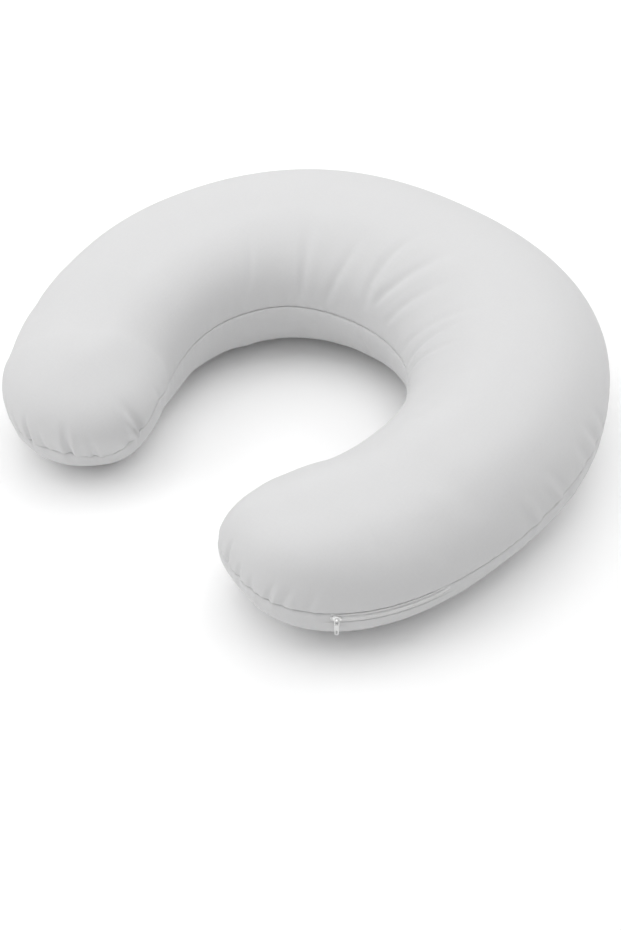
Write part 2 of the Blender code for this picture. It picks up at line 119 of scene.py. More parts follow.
# Swells where the real pillow is not so even: loop place, rounding angle, push in mm, and both reaches
SWELLS = (
    (2.94, -40, 6.0, 0.07, 30), (3.26, -40, 3.5, 0.12, 35), (1.43, -15, -5.5, 0.13, 55),
    (1.90, 50, -9.5, 0.20, 45), (2.17, 52, -6.0, 0.13, 45), (1.60, 10, 3.5, 0.08, 45),
    (2.85, 46, 8.0, 0.23, 22), (3.30, 8, 8.7, 0.22, 16), (3.31, 25, 6.0, 0.46, 18),
    (3.32, 26, 4.0, 0.33, 28), (2.57, 36, 4.7, 0.17, 30), (2.60, 12, -2.7, 0.21, 16),
    (2.84, 74, 5.9, 0.53, 16), (1.01, 66, 6.0, 0.35, 32), (1.29, 37, 6.0, 0.34, 18),
    (1.26, 39, -1.3, 0.70, 29), (1.86, 45, -4.1, 0.20, 17), (1.91, 73, 5.9, 0.25, 38),
    (1.30, 44, 4.0, 0.26, 21),
)
CROWN_CALM = 40.0  # degrees below the crown from which these fade out
# Where the seam lies higher or lower than the table says: loop place, degrees, and the reach
SEAM_MOVES = ((3.18, 16.7, 0.30), (3.14, 16.8, 0.15), (3.32, -17.2, 0.14), (0.79, 4.5, 0.08),
              (0.86, -4.5, 0.075))
SEAM_DROP = 1.7  # degrees: how much lower the seam lies once its stitches draw it in
TANGENT_STEP = 1e-4


def bell(x):
    """exp(-x^2): 1 at 0, and almost 0 from 2 on."""
    return np.exp(-x**2)


def smooth_step(x):
    """0 below 0, 1 above 1, and 3x^2 - 2x^3 between."""
    x = np.clip(x, 0.0, 1.0)
    return x * x * (3 - 2 * x)


def unit(vectors):
    """The vectors in the last axis, each divided by its length."""
    return vectors / np.linalg.norm(vectors, axis=-1, keepdims=True)


def circle(count):
    """Angles in even steps once round."""
    return np.linspace(0.0, 2 * math.pi, count, endpoint=False)


def rounded(angle, power):
    """A point of the superellipse |x|^power + |y|^power = 1: the cosine and the sine, each to the power
    2 / power with its sign kept."""
    return [np.sign(x) * np.abs(x) ** (2 / power) for x in (np.cos(angle), np.sin(angle))]


def at_station(name, s):
    """A size at station s in [-1, 1]: a cubic through the nine values, whose slope at each is half the
    step between its neighbours, and level at both ends (but not for the spine)."""
    table = np.array(STATIONS[name])
    last = len(table) - 1
    slope = np.gradient(table)
    if name != "spine":
        slope[0] = slope[-1] = 0.0
    place = (np.clip(s, -1.0, 1.0) + 1.0) * last / 2
    k = np.minimum(place.astype(int), last - 1)
    t = place - k
    rise = table[k + 1] - table[k]
    return (table[k] + t * slope[k] + t**2 * (3 * rise - 2 * slope[k] - slope[k + 1])
            + t**3 * (slope[k] + slope[k + 1] - 2 * rise))


print("half width of the back:", round(float(at_station("half_width", np.zeros(1))[0]), 1), "mm")


# %% Stand the half sections on the spine
def spine_point(s):
    """The spine in plan: station times the arm's angle round the pole, at the table's distance from it."""
    angle = s * ARM_ANGLE
    radius = at_station("spine", s) * MM
    return np.stack([POLE[0] + radius * np.sin(angle), POLE[1] + radius * np.cos(angle)], axis=-1)


def half_sections(v):
    """Half sections at loop places v in [0, 4). From 0 to 1 they point outwards along the spine, from 1
    to 2 they turn round the end of the zip's arm, from 2 to 3 they point inwards on the way back, and
    from 3 to 4 they turn round the left end."""
    side = np.floor(v).astype(int)
    t = v - side
    s = np.choose(side, [2 * t - 1, np.ones_like(t), 1 - 2 * t, -np.ones_like(t)])
    step = np.where(s > 0, -TANGENT_STEP, TANGENT_STEP)
    tangent = unit((spine_point(s + step) - spine_point(s)) / step[:, None])
    outward = np.stack([-tangent[:, 1], tangent[:, 0]], axis=-1)
    turn = math.pi * t
    across = np.choose(side, [np.ones_like(t), np.cos(turn), -np.ones_like(t), -np.cos(turn)])
    ahead = np.choose(side, [0 * t, ZIP_TIP_REACH * np.sin(turn), 0 * t, -LEFT_TIP_REACH * np.sin(turn)])
    blend = (1 - np.cos(turn)) / 2
    inner_share = np.choose(side, [0 * t, blend, np.ones_like(t), 1 - blend])
    seam = (1 - inner_share) * at_station("outer_seam", s) + inner_share * at_station("inner_seam", s)
    for place, move, reach in SEAM_MOVES:
        seam = seam + move * bell((v - place) / reach)
    way = outward * across[:, None] + tangent * ahead[:, None]
    cut = {name: at_station(name, s) * MM for name in ("half_width", "crown", "widest")}
    cut.update(place=v, centre=spine_point(s), reach=way, way=unit(way), seam=np.radians(seam - SEAM_DROP),
               belly=cut["widest"] + PRESSED_FLAT)
    return cut


def swell(cut, angle):
    """The sum of the table's bells, push times exp(-(place / reach)^2 - (angle / reach)^2), faded out
    near the crown, where the two sides meet."""
    push = np.zeros(np.broadcast_shapes(cut["place"].shape, angle.shape))
    for place, middle, amount, place_reach, angle_reach in SWELLS:
        away = (cut["place"] - place) / place_reach
        turned = (np.degrees(angle) - middle) / angle_reach
        push += amount * MM * np.exp(-(away**2) - turned**2)
    return push * smooth_step((90 - np.degrees(angle)) / CROWN_CALM)


def cover_points(cut, angle, push):
    """Points (rows, columns, 3) at rounding angles (rows, columns), 0 at the widest level and 90 degrees
    at the crown. Out along the half section it is the half width times cos^(2/power), and up it is the
    crown or belly times sin^(2/power). The push moves each point square to that, never under the floor."""
    above = angle >= 0
    power = np.where(above, CROWN_POWER, BELLY_POWER)
    cosine, sine = np.abs(np.cos(angle)), np.sin(angle)
    out = cosine ** (2 / power)
    high = np.where(above, cut["crown"], cut["belly"])
    z = cut["widest"] + high * np.sign(sine) * np.abs(sine) ** (2 / power)
    plan = cut["centre"] + cut["reach"] * (cut["half_width"] * out)[..., None]
    lean_out = cosine / cut["half_width"]
    lean_up = sine / np.where(above, cut["crown"], cut["widest"])
    length = np.hypot(lean_out, lean_up)
    push = push + swell(cut, angle)
    plan = plan + cut["way"] * (push * lean_out / length)[..., None]
    z = np.maximum(np.maximum(z, 0.0) + push * lean_up / length, 0.0)
    return np.concatenate([plan, z[..., None]], axis=-1)


# %% Measure along the seam
SEAM_SAMPLES = 6000


def seam_ruler():
    """Loop places, and how far along the seam each one is: the sum of the steps between points on it."""
    v = np.linspace(0.0, 4.0, SEAM_SAMPLES, endpoint=False)
    cut = half_sections(v)
    points = cover_points(cut, cut["seam"][None, :], np.zeros((1, len(v))))[0]
    steps = np.linalg.norm(np.roll(points, -1, axis=0) - points, axis=1)
    return v, np.concatenate([[0.0], np.cumsum(steps[:-1])]), float(steps.sum())


RULER_PLACES, RULER_ALONG, SEAM_LENGTH = seam_ruler()
print("the seam is", round(SEAM_LENGTH * 1000), "mm long")

# %% [markdown]
# ## Gathers and folds
#
# Where two curved edges are sewn together, the cloth puckers beside the seam, most of all round the ends of
# the arms. Inside the bend of the back, where the upper panel has too much cloth, long soft folds run from
# the seam over the crown. Sculpting them by hand would hide their sizes, so each one is a row of a table:
# where it crosses the seam, how far it leans, where it starts and ends, and its rise and width. A fold is a
# bell-shaped ridge with a hollow on each side, and one hollow is deeper, as in cloth that is pushed over.

# %% List the folds
# Each fold: along the seam in mm, lean and bend in mm, from and to which share of the way up, rise and
# width in mm, and tilt
UPPER_FOLDS = (
    # creases and ridges gathered round the left arm's end
    (2462, 30, 0, -0.12, 0.26, -3.2, 2.9, 0),
    (2443, 44, 0, -0.12, 0.24, -2.8, 2.7, 0),
    (2428, 9, 0, -0.12, 0.32, -5.4, 3.3, -0.4),
    (2411, 10, 0, -0.12, 0.22, -2.6, 3.0, 0),
    (2385, 5, 0, -0.14, 0.35, -6.8, 3.7, -0.4),
    (2360, 16, 0, -0.12, 0.3, -4.6, 3.4, -0.3),
    (2311, 58, 0, -0.1, 0.46, 7.4, 4.3, -0.8),
    (2322, 57, 0, -0.12, 0.24, -2.4, 3.1, 0),
    (2264, 30, 0, -0.08, 0.2, -1.5, 3.6, 0),
    # creases gathered round the end of the zip's arm
    (1538, 0, 0, -0.12, 0.3, -4.6, 3.4, -0.3),
    (1518, -14, 0, -0.12, 0.24, -4.2, 3.1, -0.3),
    (1500, -9, 0, -0.12, 0.24, -3.2, 3.2, 0),
    (1480, -26, 0, -0.12, 0.26, -3.2, 3.2, -0.4),
    (1466, -39, 0, -0.12, 0.27, -2.3, 3.8, -0.3),
    (1442, -32, 0, -0.1, 0.33, -1.5, 4.5, 0),
    # ridges on the outer side of the zip's arm
    (1048, 52, 0, -0.1, 0.38, -1.7, 6.4, 0.3),
    (1072, 64, 0, -0.1, 0.38, -2.3, 6.2, 0.4),
    (1100, 60, 0, -0.1, 0.34, -1.8, 6.0, 0.4),
    (1156, 62, 0, -0.08, 0.38, 2.8, 5.6, -0.6),
    (1190, 59, 0, -0.08, 0.4, 2.6, 5.8, -0.4),
    # long soft creases from the inner seam up over the crown
    (2098, -50, 0, 0.2, 0.7, -1.3, 5.0, 0),
    (2034, -12, 5, 0.1, 0.9, -2.2, 4.2, -0.2),
    (2012, -42, 26, 0.08, 0.74, -2.4, 5.0, -0.2),
    (1961, 27, -33, 0.14, 0.92, -3.3, 4.8, -0.3),
    (1971, -72, 32, 0.22, 0.92, -3.3, 4.6, -0.3),
    (1944, -60, 26, 0.14, 0.76, -2.4, 4.4, -0.2),
    (1900, -18, 0, 0.06, 0.52, -1.5, 3.6, 0),
    (1896, -10, 0, 0.4, 0.86, -1.1, 3.4, 0),
    (1879, 2, 2, 0.04, 0.7, -2.2, 3.2, -0.2),
    (1868, -9, 1, 0.06, 0.66, -2.2, 3.2, -0.2),
    # the back and the left arm's outer side, which the photograph doesn't show
    (98, -30, 0, -0.05, 0.3, 1.0, 7.0, 0.3),
    (266, 20, 0, -0.05, 0.28, 1.0, 8.0, 0.3),
    (528, -16, 0, -0.05, 0.26, 0.9, 8.0, -0.3),
    (849, 24, 0, -0.05, 0.3, 1.1, 8.0, 0.3),
)
LOWER_FOLDS = (
    # creases and ridges gathered round the left arm's end
    (2452, 20, 0, -0.02, 0.4, 0.9, 6.0, 0),
    (2396, -18, 0, -0.02, 0.46, 1.1, 7.0, 0.4),
    (2322, -30, 0, -0.02, 0.42, 1.0, 6.5, -0.3),
    # creases gathered round the end of the zip's arm
    (1585, 16, 0, -0.02, 0.42, 1.0, 7.0, 0.3),
    (1502, -20, 0, -0.02, 0.46, 1.0, 7.0, -0.3),
    # ridges on the outer side of the zip's arm
    (1130, -30, 0, -0.02, 0.4, 1.0, 8.0, 0),
    # the inside of the bend
    (2105, -40, 0, 0.02, 0.8, 0.9, 6.0, 0),
    (2077, 8, 0, 0.05, 1.0, 0.9, 9.0, 0),
    (2023, -24, 0, 0.02, 0.62, -0.7, 3.4, 0),
    (1965, -4, -47, -0.1, 0.6, -1.6, 3.0, 0.5),
    (1912, 10, 0, 0.02, 0.8, 0.9, 7.0, 0),
    # the back and the left arm's outer side, which the photograph doesn't show
    (61, 26, 0, 0.02, 0.44, 1.0, 8.0, 0),
    (410, -20, 0, 0.02, 0.4, 1.0, 9.0, 0.3),
    (754, 24, 0, 0.02, 0.42, 1.0, 9.0, -0.3),
)
FOLD_PEAK = 0.6  # below 1, so a fold is highest nearer the seam
HOLLOW_DEPTH = 0.45
HOLLOW_WIDTH = 2.2
TILT_SHIFT = 1.7  # where the deeper hollow lies, in widths of the fold
SEAM_STIFF = 3.0 * MM  # the stitched edges hold the folds down to this distance from the seam
SEAM_FOLLOWS = 0.5  # the share of an upper fold that is left at the seam itself
LOWER_FOLLOWS = 8.0 * MM  # how far below the seam the upper panel's folds still show


def fold_push(folds, along, share):
    """The sum of a panel's folds. Across a fold, x is the distance from its crest in widths: the ridge is
    exp(-x^2), with a wide shallow hollow under it and a narrower one on the side that it tilts to. A crease
    is the same with a rise below zero. The crest's place is a quadratic in the share of the way up, and
    along it the height is a half sine that peaks nearer the seam."""
    push = np.zeros(np.broadcast_shapes(along.shape, share.shape))
    for middle, lean, bend, start, reach, rise, width, tilt in folds:
        crest = (middle + lean * share + bend * share**2) * MM
        away = (along - crest + SEAM_LENGTH / 2) % SEAM_LENGTH - SEAM_LENGTH / 2
        x = away / (width * MM)
        hollows = bell(x / HOLLOW_WIDTH) + abs(tilt) * bell(x - math.copysign(TILT_SHIFT, tilt))
        way = np.clip((share - start) / (reach - start), 0.0, 1.0)
        push += rise * MM * (bell(x) - HOLLOW_DEPTH * hollows) * np.sin(math.pi * way**FOLD_PEAK)
    return push


print(len(UPPER_FOLDS) + len(LOWER_FOLDS), "folds")

# %% [markdown]
# ## The seam and the zip's bed
#
# On the real cover both panels turn inwards at the seam, so all that shows is a narrow dark groove with a
# rounded lip on each side. Stitches pull the lips in a little, unevenly. A line drawn in the material would
# look flat from the side, so the groove is in the mesh, with rows of points a few tenths of a millimetre
# apart. Just below it, the zip lies in a shallow bed, under the lip of a second fold.

# %% Shape the seam
SEAM_DEPTH = 2.2 * MM
SEAM_REACH = 0.40 * MM
STITCH_PULL = 2.1 * MM  # the stitches draw the cover in over a broader band
STITCH_REACH = 12.0 * MM
LIP_HEIGHT = 0.45 * MM
LIP_PLACE = 3.4 * MM
PUCKER_WAVES = ((6.7, 0.16, 0.4), (10.3, 0.20, 1.9), (15.1, 0.22, 4.2), (23.9, 0.20, 2.7))
PUCKER_REACH = 7.0 * MM
UPPER_PHASE, LOWER_PHASE = 1.0, 1.7  # so that the two lips don't pucker alike
ZIP_FROM = 1292 * MM  # along the seam, as is the next
ZIP_TO = 1428 * MM
ZIP_COMES_OUT = 34 * MM  # from under the fold, over this length
ZIP_GOES_IN = 16 * MM
BED_TOP = 1.2 * MM  # below the seam, as is the next
BED_BOTTOM = 9.8 * MM
BED_DEPTH = 1.7 * MM
BED_EDGE = 0.5 * MM
FOLD_LIP = 0.2 * MM
FOLD_LIP_REACH = 2.6 * MM
BED_CALM = 9.0 * MM  # above the bed the folds fade in over this distance


def stitch_pull(distance):
    """How far the stitches draw the cover in: pull times exp(-distance / reach)."""
    return -STITCH_PULL * np.exp(-distance / STITCH_REACH)


def bed_share(along):
    """1 over the zip's bed, falling to 0 past its ends."""
    return smooth_step((along - ZIP_FROM) / ZIP_COMES_OUT) * smooth_step((ZIP_TO - along) / ZIP_GOES_IN)


def seam_push(distance, along, phase):
    """The groove is -depth * exp(-distance / reach), the lip beside it rises as x * exp(1 - x), and the
    puckers are waves along the seam that die out with the distance from it."""
    groove = -SEAM_DEPTH * np.exp(-distance / SEAM_REACH)
    x = distance / LIP_PLACE
    lip = LIP_HEIGHT * x * np.exp(1 - x)
    waves = np.zeros_like(along)
    for length, rise, start in PUCKER_WAVES:
        count = round(SEAM_LENGTH / (length * MM))
        waves += rise * MM * np.sin(2 * math.pi * count * along / SEAM_LENGTH + start * phase)
    return groove + lip + waves * np.exp(-distance / PUCKER_REACH) * np.minimum(x * 2, 1.0)


def bed_push(distance, along):
    """Inside the bed the cloth is a bed's depth down. Past its lower edge a rounded lip stands up."""
    inside = smooth_step((BED_BOTTOM + BED_EDGE / 2 - distance) / BED_EDGE)
    past = np.maximum(distance - BED_BOTTOM, 0.0) / FOLD_LIP_REACH
    lip = FOLD_LIP * (1 - inside) * bell(past)
    return bed_share(along) * (lip - BED_DEPTH * inside)


# %% [markdown]
# ## The cover's rows and columns
#
# The mesh is a grid that is bent round the pillow. Its columns are the half sections, closer together near
# the round ends. Its rows run along the pillow: from the crown down to the seam, from there down to the
# floor, and under the pillow to the spine. They are closest at the seam, where the form changes fastest.

# %% Work out the grid
SIDE_COLUMNS = 418
TIP_COLUMNS = 152
END_CROWDING = 0.45
# Distances from the seam in mm of the rows near it. The others are counted
UPPER_NEAR = (0.0, 0.18, 0.4, 0.8, 1.4, 2.2, 3.2, 4.5, 6.1, 8.1, 10.6)
LOWER_NEAR = (0.18, 0.4, 0.8, 1.4, 2.2, 3.4, 4.7, 6.0, 7.3, 8.5, 9.3, 9.7, 10.1, 10.6, 11.4, 12.6, 14.4, 17.0)
UPPER_FAR = 33
LOWER_FAR = 20
UNDER_ROWS = 5


def loop_places():
    """Columns at even steps of a curve that is steeper in the middle: u and (3u - u^3)/2, blended."""
    u = np.linspace(-1.0, 1.0, SIDE_COLUMNS)
    side = (1 + (1 - END_CROWDING) * u + END_CROWDING * (3 * u - u**3) / 2)[:-1] / 2
    side[0] = 0.0
    tip = np.arange(TIP_COLUMNS) / TIP_COLUMNS
    return np.concatenate([side, 1 + tip, 2 + side, 3 + tip])


def panel_angles(cut):
    """Rounding angles of the rows of both panels, from the crown down, and of the rim where the cover meets
    the floor. Near the seam an angle is the distance over the local radius, and further off it is even."""
    near = np.array(UPPER_NEAR)[:, None] * MM
    upper_near = cut["seam"] + near / cut["crown"]
    way = np.linspace(0.0, 1.0, UPPER_FAR + 1)[1:, None]
    upper_far = upper_near[-1] + way * (math.pi / 2 - upper_near[-1])
    upper = np.concatenate([upper_near, upper_far])[::-1]
    lower_near = cut["seam"] - np.array(LOWER_NEAR)[:, None] * MM / cut["belly"]
    rim = -np.arcsin((cut["widest"] / cut["belly"]) ** (BELLY_POWER / 2))
    way = np.linspace(0.0, 1.0, LOWER_FAR + 1)[1:, None]
    lower = np.concatenate([lower_near, lower_near[-1] + way * (rim - lower_near[-1])])
    return upper, lower, rim


def cover_grid(places):
    """The cover's points, row by row from the crown to the spine under it, folds and seam included."""
    cut = half_sections(places)
    along = np.interp(places, RULER_PLACES, RULER_ALONG)
    upper, lower, rim = panel_angles(cut)
    upper_share = (upper - cut["seam"]) / (math.pi / 2 - cut["seam"])
    lower_share = (cut["seam"] - lower) / (cut["seam"] - rim)
    bed = bed_share(along)
    above = (upper - cut["seam"]) * cut["crown"]
    fade = SEAM_FOLLOWS + (1 - SEAM_FOLLOWS) * smooth_step(above / SEAM_STIFF)
    fade = fade * (1 - bed * (1 - smooth_step(above / BED_CALM)))
    folds = fold_push(UPPER_FOLDS, along, upper_share) * fade
    upper_push = folds + seam_push(above, along, UPPER_PHASE) + stitch_pull(above)
    distance = (cut["seam"] - lower) * cut["belly"]
    lower_push = (fold_push(LOWER_FOLDS, along, lower_share) * smooth_step(distance / SEAM_STIFF) * (1 - bed)
                  + folds[-1] * np.exp(-distance / LOWER_FOLLOWS)
                  + seam_push(distance, along, LOWER_PHASE) * (1 - bed * (distance < BED_BOTTOM))
                  + bed_push(distance, along) + stitch_pull(distance))
    top = cover_points(cut, upper, upper_push)
    bottom = cover_points(cut, lower, lower_push)
    bottom[-1, :, 2] = 0.0
    middle = np.concatenate([cut["centre"], np.zeros((len(places), 1))], axis=1)
    way = np.linspace(0.0, 1.0, UNDER_ROWS + 1)[1:, None, None]
    under = bottom[-1] + way * (middle - bottom[-1])
    return np.concatenate([top, bottom, under]), len(top)


PLACES = loop_places()
COVER, SEAM_ROW_END = cover_grid(PLACES)
SEAM_ROW = SEAM_ROW_END - 1
print("cover grid:", COVER.shape[0], "rows x", COVER.shape[1], "columns")

# %% [markdown]
# ## Push the filling out
#
# Cloth over a soft filling is never as even as a formula. Blender's Cloth can find the small uneven
# swellings: a copy of the cover is remeshed into even cells, its seam and its resting face are pinned, its
# cloth is made a little larger than the form, and pressure pushes it out for twenty frames. Only the motion
# is kept. It is capped, and each point of the fine cover moves by the average motion near it, so that the
# seam and the folds keep their detail.

# %% Put a grid into a mesh
WELD = 0.01 * MM
FINE_WELD = 0.001 * MM  # for the small metal and plastic pieces


def ring_mesh(name, grid, lay=None):
    """A mesh from rows of points that each run all the way round. lay gives each corner's place on the
    flat cloth, once for the upper rows and once for the lower ones, as the piece's UV map."""
    rows, columns = grid.shape[:2]
    index = np.arange(rows * columns).reshape(rows, columns)
    right = np.roll(index, -1, axis=1)
    quads = np.stack([index[:-1], index[1:], right[1:], right[:-1]], axis=-1).reshape(-1, 4)
    mesh = bpy.data.meshes.new(name)
    mesh.vertices.add(rows * columns)
    mesh.vertices.foreach_set("co", grid.astype(np.float32).ravel())
    mesh.loops.add(quads.size)
    mesh.loops.foreach_set("vertex_index", quads.astype(np.int32).ravel())
    mesh.polygons.add(len(quads))
    mesh.polygons.foreach_set("loop_start", np.arange(0, quads.size, 4, dtype=np.int32))
    mesh.update(calc_edges=True)
    if lay is not None:
        band = np.repeat(np.arange(rows - 1), columns)
        layer = mesh.uv_layers.new(name="cloth_lay")
        flat = np.concatenate([x.reshape(-1, 2) for x in lay])
        corner = quads + np.where(band < SEAM_ROW, 0, rows * columns)[:, None]
        layer.uv.foreach_set("vector", flat[corner.ravel()].astype(np.float32).ravel())
    return mesh


def capped(grid):
    """The grid with one more row at both ends, where the end row has shrunk to its middle."""
    middles = grid[[0, -1]].mean(axis=1, keepdims=True).repeat(grid.shape[1], axis=1)
    return np.concatenate([middles[:1], grid, middles[1:]])


def weld(mesh, distance=WELD):
    """Merges the points that lie on each other, such as those along the crown, and turns faces out."""
    bm = bmesh.new()
    bm.from_mesh(mesh)
    bmesh.ops.remove_doubles(bm, verts=bm.verts, dist=distance)
    bmesh.ops.recalc_face_normals(bm, faces=bm.faces)
    bm.to_mesh(mesh)
    bm.free()
    mesh.shade_smooth()
    return mesh


def joined(name, grids, distance):
    """One mesh from several grids, each welded on its own."""
    bm = bmesh.new()
    for grid in grids:
        bm.from_mesh(weld(ring_mesh("part", grid), distance))
    mesh = bpy.data.meshes.new(name)
    bm.to_mesh(mesh)
    bm.free()
    mesh.shade_smooth()
    return mesh


def points_of(mesh):
    """A mesh's points as an array."""
    points = np.empty(len(mesh.vertices) * 3, np.float32)
    mesh.vertices.foreach_get("co", points)
    return points.reshape(-1, 3).astype(float)


# %% Simulate the cover
VOXEL = 6.5 * MM
FRAMES = 20
CLOTH_SETTINGS = {
    "quality": 6, "pin_stiffness": 1.0, "tension_stiffness": 15, "compression_stiffness": 15,
    "shear_stiffness": 5, "bending_stiffness": 0.4, "use_pressure": True, "uniform_pressure_force": 4.0,
    "shrink_min": -0.012,  # below zero, so the cloth is larger than the form
}
MOST_MOTION = 0.8 * MM
PIN_REACH = 9.0 * MM
FLOOR_PINS = 1.0 * MM  # what lies lower than this rests on the floor
BLUR = 9.0 * MM
COLUMN_BLOCK = 20  # columns, and below points, that are worked out at once, to save memory
POINT_BLOCK = 2000


def remeshed_copy(mesh):
    """An object of even cells with the same outside."""
    obj = add_object("filling_form", mesh.copy())
    remesh = obj.modifiers.new("even_cells", "REMESH")
    remesh.mode = "VOXEL"
    remesh.voxel_size = VOXEL
    bpy.context.view_layer.update()
    even = bpy.data.meshes.new_from_object(obj.evaluated_get(bpy.context.evaluated_depsgraph_get()))
    obj.modifiers.clear()
    obj.data = even
    return obj


def near_seam(points, seam):
    """The distance from each point to the nearest point of the seam, a block of points at a time."""
    nearest = [np.sqrt(((block[:, None] - seam[None]) ** 2).sum(-1).min(1))
               for block in np.array_split(points, max(len(points) // POINT_BLOCK, 1))]
    return np.concatenate(nearest)


def add_cloth(obj, pins):
    """Blender's Cloth with pressure from inside, no gravity, and the given pins."""
    group = obj.vertex_groups.new(name="pins")
    for level in np.unique(pins):
        group.add(np.flatnonzero(pins == level).tolist(), float(level), "REPLACE")
    cloth = obj.modifiers.new("cloth", "CLOTH")
    cloth.settings.vertex_group_mass = group.name
    for key, value in CLOTH_SETTINGS.items():
        setattr(cloth.settings, key, value)
    cloth.settings.effector_weights.gravity = 0
    cloth.point_cache.frame_start = 1
    cloth.point_cache.frame_end = FRAMES
    return cloth


def simulated_motion(mesh, seam):
    """Where the points of an even copy start, and how far the cloth has moved each: past the cap the
    motion is cap * tanh(motion / cap), so that no place stands out."""
    obj = remeshed_copy(mesh)
    start = points_of(obj.data)
    pins = bell(near_seam(start, seam) / PIN_REACH)
    pins = np.maximum(pins, start[:, 2] < FLOOR_PINS)
    add_cloth(obj, np.round(pins, 1))
    scene = bpy.context.scene
    for frame_number in range(1, FRAMES + 1):
        scene.frame_set(frame_number)
    moved = obj.evaluated_get(bpy.context.evaluated_depsgraph_get())
    motion = points_of(moved.data) - start
    bpy.data.objects.remove(obj)
    scene.frame_set(1)
    size = np.linalg.norm(motion, axis=1, keepdims=True)
    return start, motion * MOST_MOTION * np.tanh(size / MOST_MOTION) / np.maximum(size, 1e-9)


def carried(grid, start, motion):
    """The grid's points, each moved by the mean motion near it, weighted by exp(-(distance / blur)^2)."""
    result = grid.copy()
    for first in range(0, grid.shape[1], COLUMN_BLOCK):
        block = grid[:, first:first + COLUMN_BLOCK].reshape(-1, 3)
        low, high = block.min(0) - 3 * BLUR, block.max(0) + 3 * BLUR
        near = ((start > low) & (start < high)).all(1)
        apart = ((block[:, None] - start[near][None]) ** 2).sum(-1)
        weight = np.exp(-apart / BLUR**2) + 1e-12
        mean = weight @ motion[near] / weight.sum(1, keepdims=True)
        result[:, first:first + COLUMN_BLOCK] += mean.reshape(result[:, first:first + COLUMN_BLOCK].shape)
    result[..., 2] = np.maximum(result[..., 2], 0.0)
    return result


MOTION_START, MOTION = simulated_motion(weld(ring_mesh("filling_form", COVER)), COVER[SEAM_ROW, ::3])
COVER = carried(COVER, MOTION_START, MOTION)
print("simulated points:", len(MOTION), "largest motion:",
      round(float(np.abs(MOTION).max() * 1000), 1), "mm")


# %% Sew the cover
def cloth_lay(grid):
    """Each point's place on the flat cloth, in metres: the spine's point in plan, plus the way out times
    the distance over the surface, from the crown for the upper panel and from below for the lower one."""
    cut = half_sections(PLACES)
    steps = np.linalg.norm(np.diff(grid, axis=0), axis=-1)
    down = np.concatenate([np.zeros((1, grid.shape[1])), np.cumsum(steps, axis=0)])
    up = down[-1] - down
    return [cut["centre"] + cut["way"] * distance[..., None] for distance in (down, up)]


def new_piece(name, mesh, *nodes, slot):
    """An object for a finished mesh. It rides on the one body, and stands for the named nodes."""
    piece = add_object(name, mesh)
    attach(piece, "root")
    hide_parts(*nodes)
    return piece


cover = new_piece("pillow_cover", weld(ring_mesh("pillow_cover", COVER, cloth_lay(COVER))),
                  "filled_cover", slot="cover")
print("cover:", len(cover.data.vertices), "points,", len(cover.data.polygons), "faces")

# %% [markdown]
# ## The zip's tape and coil
#
# A coil zip is two woven tapes, each with a plastic thread that is wound into a flattened spring along its
# edge. The turns of one spring lock between those of the other. Drawing the teeth in a texture would be
# cheaper, but they catch the light, so here each spring is a real tube: a path that goes round and round
# while it moves along the bed, with a small circle carried along it.

# %% Find the zip's place
COIL_CENTRE = 3.2 * MM
PLAY = 0.3 * MM  # between the bed and the tape


def bed_frames(along):
    """At distances along the seam: a point on the bed's upper edge, the way across the bed and the way out
    of it. The bed is the straight line between its two edges."""
    places = np.interp(along, RULER_ALONG, RULER_PLACES)
    cut = half_sections(places)
    depth = -BED_DEPTH * bed_share(along)[None]
    upper, lower = [cover_points(cut, (cut["seam"] - edge / cut["belly"])[None], depth + stitch_pull(edge))[0]
                    for edge in (BED_TOP, BED_BOTTOM)]
    across = unit(lower - upper)
    level = np.concatenate([cut["way"], np.zeros((len(along), 1))], axis=1)
    return upper, across, unit(level - across * np.sum(level * across, axis=1, keepdims=True))


def carried_profile(name, along, sideways, height):
    """A closed profile carried along the bed, with closed ends. sideways and height hold the profile at
    each place, as distances across the bed and out of it."""
    upper, across, out = bed_frames(along)
    grid = upper[:, None] + across[:, None] * sideways[..., None] + out[:, None] * height[..., None]
    return weld(ring_mesh(name, capped(grid)))


# %% Weave the two tapes
TAPE_STEPS = 220
TAPE_PROFILE = 20
TAPES = (("zip_tape_top", "zip_tape_upper", -0.7 * MM, 2.9 * MM),
         ("zip_tape_bottom", "zip_tape_lower", 3.5 * MM, 8.7 * MM))
TAPE_THICK = 1.3 * MM
TAPE_POWER = 6
CORD_RISE = 0.35 * MM  # the thicker edge that the coil is sewn to
CORD_PLACE = 2.6 * MM  # from the coil's middle
CORD_REACH = 0.45 * MM
STRIP_FROM = ZIP_FROM + 5 * MM
STRIP_TO = ZIP_TO - 7 * MM
SINK_DEPTH = 3.0 * MM  # the most that the zip dives at its ends


def sink(along):
    """Where the bed runs out, the zip dives under the cover: depth * (1 - the bed's share)."""
    return SINK_DEPTH * (1 - bed_share(along))


def tape(name, node, near, far):
    """A flat superellipse, |x|^6 + |y|^2 = 1, with a rounded cord along the edge beside the coil."""
    along = np.linspace(STRIP_FROM, STRIP_TO, TAPE_STEPS)
    turn = circle(TAPE_PROFILE)
    sideways = (near + far) / 2 + rounded(turn, TAPE_POWER)[0] * (far - near) / 2
    y = np.sin(turn)
    cord = CORD_RISE * bell((np.abs(sideways - COIL_CENTRE) - CORD_PLACE) / CORD_REACH)
    height = PLAY + TAPE_THICK / 2 + y * TAPE_THICK / 2 + cord * (y > 0) - sink(along)[:, None]
    sideways = np.broadcast_to(sideways, height.shape)
    return new_piece(name, carried_profile(name, along, sideways, height), node, slot="tape")


tapes = [tape(*row) for row in TAPES]
print("tapes:", [piece.name for piece in tapes])

